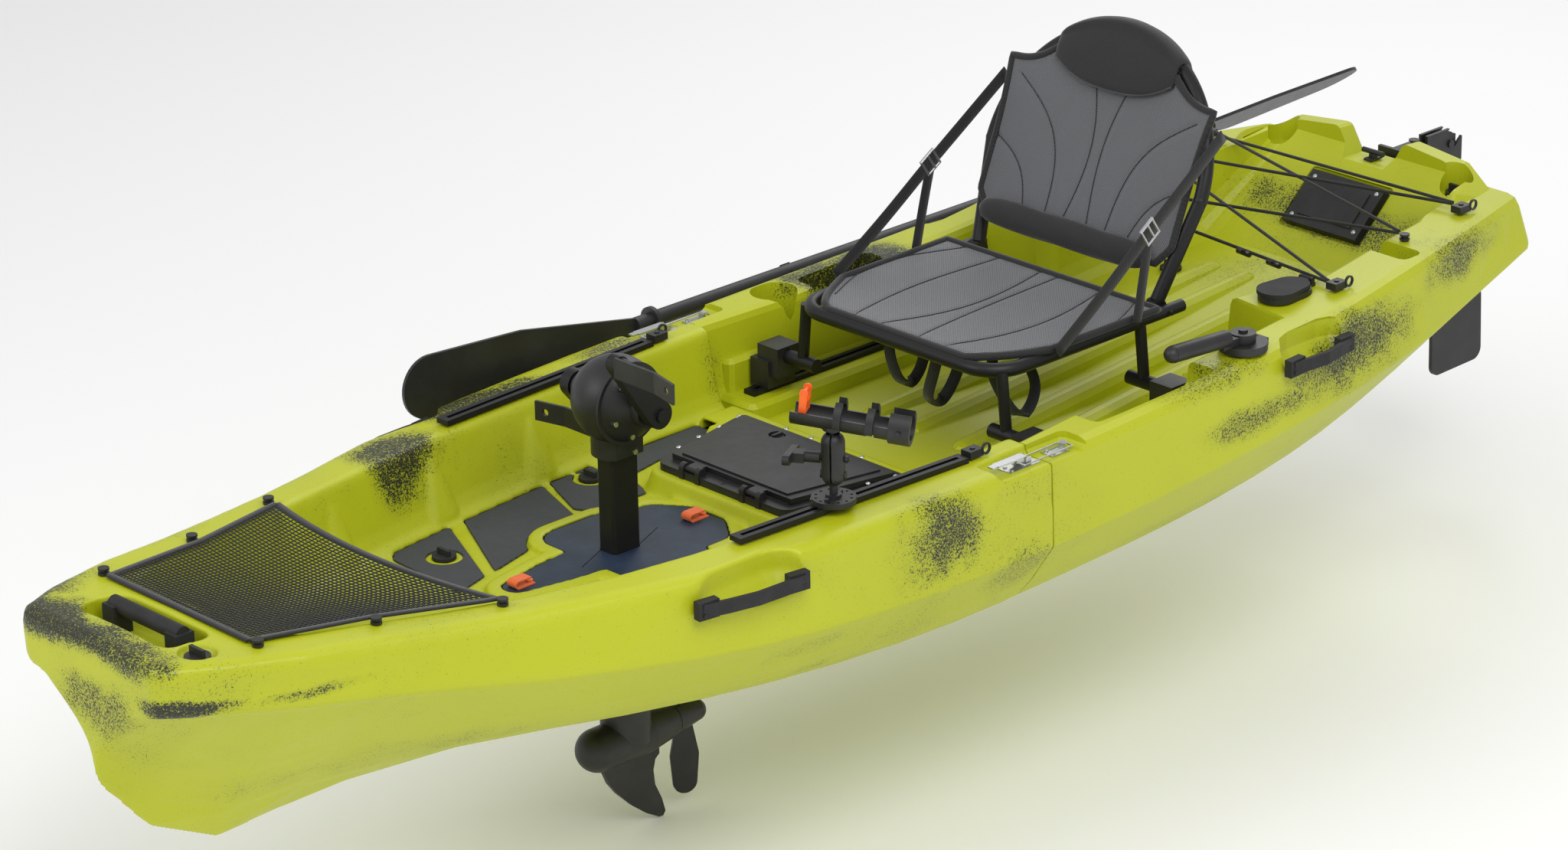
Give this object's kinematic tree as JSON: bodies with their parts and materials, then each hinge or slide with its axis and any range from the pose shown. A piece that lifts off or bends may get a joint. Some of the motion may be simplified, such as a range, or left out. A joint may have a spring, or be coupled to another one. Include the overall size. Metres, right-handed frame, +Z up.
{
  "type": "pedal boat",
  "caption": "Sit-on-top pedal boat with a two-piece moulded hull, pedal-driven propeller, sliding framed seat, steered rudder, hatch, rod mount and paddle.",
  "frame": {"origin": "on the keel line amidships, level with the lowest point of the keel", "axes": "+X towards the bow, +Y to port, +Z up"},
  "size_m": [3.392, 1.0447, 1.1214],
  "materials": {
    "lime_plastic": "satin roto-moulded, black flecks and smoky patches",
    "foam_pad": "fine ribbed",
    "navy_plate": "satin",
    "orange_webbing": "woven",
    "orange_plastic": "satin",
    "black_plastic": "satin, fine texture",
    "black_gloss": "gloss",
    "black_rubber": "matt",
    "black_fabric": "woven",
    "black_cord": "braided",
    "net_fabric": "open mesh",
    "grey_mesh": "two-tone diagonal weave",
    "black_aluminium": "black anodised",
    "stainless": "brushed"
  },
  "bodies": {
    "hull": {"hull_front": "lime_plastic", "hull_rear": "lime_plastic", "deck_pads": "foam_pad", "drive_well_plate": "navy_plate", "pull_tabs": "orange_webbing", "hatch_frame": "black_plastic", "hatch_gasket": "black_rubber", "bow_net": "net_fabric", "cord_hardware": "black_plastic", "bow_handle": "black_rubber", "side_handles": "black_rubber", "gear_tracks": "black_aluminium", "pad_eyes": "black_plastic", "seat_rails": "black_aluminium", "scupper_plugs": "black_rubber", "deck_cords": "black_cord", "paddle_clips": "black_plastic", "access_cover": "black_plastic", "flush_rod_tubes": "black_plastic", "steering_base": "black_plastic", "rudder_bracket": "black_plastic", "latch_plates": "stainless", "drive_column": "black_aluminium", "gearbox_shell": "black_plastic", "gearbox_cover": "black_plastic", "drive_bearings": "stainless", "lower_housing": "black_plastic", "drive_screws": "stainless"},
    "hatch_lid": {"hatch_lid": "black_plastic"},
    "rod_cap_port": {"rod_cap_port": "black_rubber"},
    "rod_cap_starboard": {"rod_cap_starboard": "black_rubber"},
    "steering_handle": {"steering_handle": "black_plastic"},
    "rudder_yoke": {"rudder_yoke": "black_plastic"},
    "rudder_blade": {"rudder_blade": "black_plastic"},
    "bow_plug": {"bow_plug": "black_plastic"},
    "stern_plug": {"stern_plug": "black_plastic"},
    "latch_lever_port": {"latch_lever_port": "stainless"},
    "latch_lever_starboard": {"latch_lever_starboard": "stainless"},
    "latch_hook_port": {"latch_hook_port": "stainless"},
    "latch_hook_starboard": {"latch_hook_starboard": "stainless"},
    "crank": {"crank_shaft": "stainless", "crank_arms": "black_aluminium"},
    "pedal_port": {"pedal_port": "black_plastic"},
    "pedal_starboard": {"pedal_starboard": "black_plastic"},
    "drive_shaft": {"drive_shaft": "stainless"},
    "prop": {"prop_shaft": "stainless", "propeller": "black_plastic"},
    "seat": {"seat_pan_frame": "black_aluminium", "seat_sliders": "black_plastic", "seat_pan_mesh": "grey_mesh", "recline_straps": "black_fabric"},
    "seat_back": {"seat_back_frame": "black_aluminium", "seat_back_mesh": "grey_mesh", "seat_pads": "black_fabric"},
    "rod_mount_base": {"rod_mount_base": "black_plastic"},
    "rod_mount_arm": {"rod_mount_arm": "black_plastic"},
    "rod_mount_knob": {"rod_mount_knob": "black_plastic"},
    "rod_cradle": {"rod_cradle": "black_plastic"},
    "rod_clip": {"rod_clip": "orange_plastic"},
    "paddle": {"paddle": "black_plastic"}
  },
  "joints": [
    {"name": "crank_spin", "type": "hinge", "parent": "hull", "child": "crank", "pos_m": [0.432, 0, 0.478], "axis": [0, 1, 0], "continuous": true},
    {"name": "pedal_port_spin", "type": "hinge", "parent": "crank", "child": "pedal_port", "pos_m": [0.51324, 0, 0.58582], "axis": [0, 1, 0], "continuous": true},
    {"name": "pedal_starboard_spin", "type": "hinge", "parent": "crank", "child": "pedal_starboard", "pos_m": [0.35075, 0, 0.37018], "axis": [0, 1, 0], "continuous": true},
    {"name": "drive_shaft_spin", "type": "hinge", "parent": "hull", "child": "drive_shaft", "pos_m": [0.432, 0, 0.1], "axis": [0, 0, 1], "continuous": true},
    {"name": "propeller_spin", "type": "hinge", "parent": "hull", "child": "prop", "pos_m": [0.305, 0, -0.12], "axis": [1, 0, 0], "continuous": true},
    {"name": "seat_slide", "type": "slide", "parent": "hull", "child": "seat", "axis": [1, 0, 0], "range_m": [-0.11, 0.015]},
    {"name": "seat_back_tilt", "type": "hinge", "parent": "seat", "child": "seat_back", "pos_m": [-0.607, 0, 0.402], "axis": [0, 1, 0], "range_deg": [-12, 48], "deforming": ["recline_straps"]},
    {"name": "hatch_hinge", "type": "hinge", "parent": "hull", "child": "hatch_lid", "pos_m": [0.205, 0, 0.265], "axis": [0, 1, 0], "range_deg": [0, 95]},
    {"name": "rod_cap_port_hinge", "type": "hinge", "parent": "hull", "child": "rod_cap_port", "pos_m": [-0.888, 0.306, 0.40406], "axis": [0, -1, 0], "range_deg": [0, 78]},
    {"name": "rod_cap_starboard_hinge", "type": "hinge", "parent": "hull", "child": "rod_cap_starboard", "pos_m": [-0.888, -0.306, 0.40406], "axis": [0, -1, 0], "range_deg": [0, 78]},
    {"name": "steering_turn", "type": "hinge", "parent": "hull", "child": "steering_handle", "pos_m": [-0.62, 0.398, 0.39], "axis": [0, 0, 1], "range_deg": [-35, 35]},
    {"name": "rudder_turn", "type": "hinge", "parent": "hull", "child": "rudder_yoke", "pos_m": [-1.542, 0, 0.38], "axis": [0, 0, 1], "range_deg": [-35, 35]},
    {"name": "rudder_kick_up", "type": "hinge", "parent": "rudder_yoke", "child": "rudder_blade", "pos_m": [-1.634, 0, 0.392], "axis": [0, 1, 0], "range_deg": [0, 90]},
    {"name": "bow_plug_turn", "type": "hinge", "parent": "hull", "child": "bow_plug", "pos_m": [1.388, 0.146, 0.39], "axis": [0, 0, 1], "range_deg": [0, 360]},
    {"name": "stern_plug_turn", "type": "hinge", "parent": "hull", "child": "stern_plug", "pos_m": [-1.414, 0.205, 0.4], "axis": [0, 0, 1], "range_deg": [0, 360]},
    {"name": "latch_lever_port_hinge", "type": "hinge", "parent": "hull", "child": "latch_lever_port", "pos_m": [-0.061, 0.42625, 0.34953], "axis": [0, -1, 0], "range_deg": [0, 130]},
    {"name": "latch_hook_port_hinge", "type": "hinge", "parent": "latch_lever_port", "child": "latch_hook_port", "pos_m": [-0.049, 0.42625, 0.34503], "axis": [0, -1, 0], "range_deg": [-130, 0]},
    {"name": "latch_lever_starboard_hinge", "type": "hinge", "parent": "hull", "child": "latch_lever_starboard", "pos_m": [-0.061, -0.42625, 0.34953], "axis": [0, -1, 0], "range_deg": [0, 130]},
    {"name": "latch_hook_starboard_hinge", "type": "hinge", "parent": "latch_lever_starboard", "child": "latch_hook_starboard", "pos_m": [-0.049, -0.42625, 0.34503], "axis": [0, -1, 0], "range_deg": [-130, 0]},
    {"name": "rod_mount_slide", "type": "slide", "parent": "hull", "child": "rod_mount_base", "axis": [0.9987, -0.051, 0], "range_m": [-0.228, 0.155]},
    {"name": "rod_mount_tilt", "type": "hinge", "parent": "rod_mount_base", "child": "rod_mount_arm", "pos_m": [0.3, 0.35966, 0.41108], "axis": [0.5373, -0.8434, 0], "range_deg": [-12, 12]},
    {"name": "rod_mount_knob_turn", "type": "hinge", "parent": "rod_mount_arm", "child": "rod_mount_knob", "pos_m": [0.3, 0.35966, 0.43808], "axis": [0.5373, -0.8434, 0], "range_deg": [0, 360]},
    {"name": "rod_cradle_swivel", "type": "hinge", "parent": "rod_mount_arm", "child": "rod_cradle", "pos_m": [0.3, 0.35966, 0.46508], "axis": [0, 0, 1], "range_deg": [-90, 90]},
    {"name": "rod_clip_hinge", "type": "hinge", "parent": "rod_cradle", "child": "rod_clip", "pos_m": [0.32464, 0.32099, 0.51489], "axis": [0.8434, 0.5373, 0], "range_deg": [-20, 55]},
    {"name": "paddle_lift", "type": "slide", "parent": "hull", "child": "paddle", "axis": [0, 0, 1], "range_m": [0, 0.15]}
  ],
  "couplings": [
    {"joint": "drive_shaft_spin", "follows": "crank_spin", "ratio": 3},
    {"joint": "propeller_spin", "follows": "crank_spin", "ratio": 9},
    {"joint": "rudder_turn", "follows": "steering_turn", "ratio": 1},
    {"joint": "latch_hook_port_hinge", "follows": "latch_lever_port_hinge", "ratio": -1},
    {"joint": "latch_hook_starboard_hinge", "follows": "latch_lever_starboard_hinge", "ratio": -1}
  ]
}
